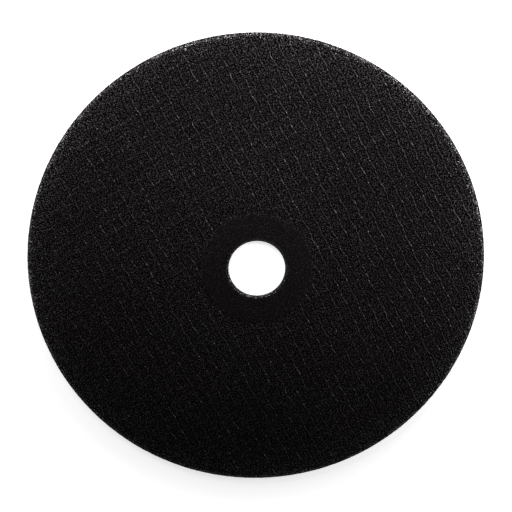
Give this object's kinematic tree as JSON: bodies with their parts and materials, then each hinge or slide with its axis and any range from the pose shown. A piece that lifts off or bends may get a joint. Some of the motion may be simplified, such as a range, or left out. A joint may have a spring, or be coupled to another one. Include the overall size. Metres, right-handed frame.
{
  "type": "cut off wheel",
  "caption": "Thin flat black abrasive cut-off wheel with glass weave in both faces, a smooth clamping land and a plain arbor bore, for an angle grinder.",
  "frame": {"origin": "middle of the underside, on the wheel's turning axis", "axes": "+Z along the turning axis, out of the face that shows; the wheel lies flat"},
  "size_m": [0.178, 0.178, 0.0024],
  "materials": {
    "black_abrasive": "matte black resin bond with dark abrasive grain"
  },
  "bodies": {
    "root": {"wheel": "black_abrasive"}
  },
  "joints": []
}
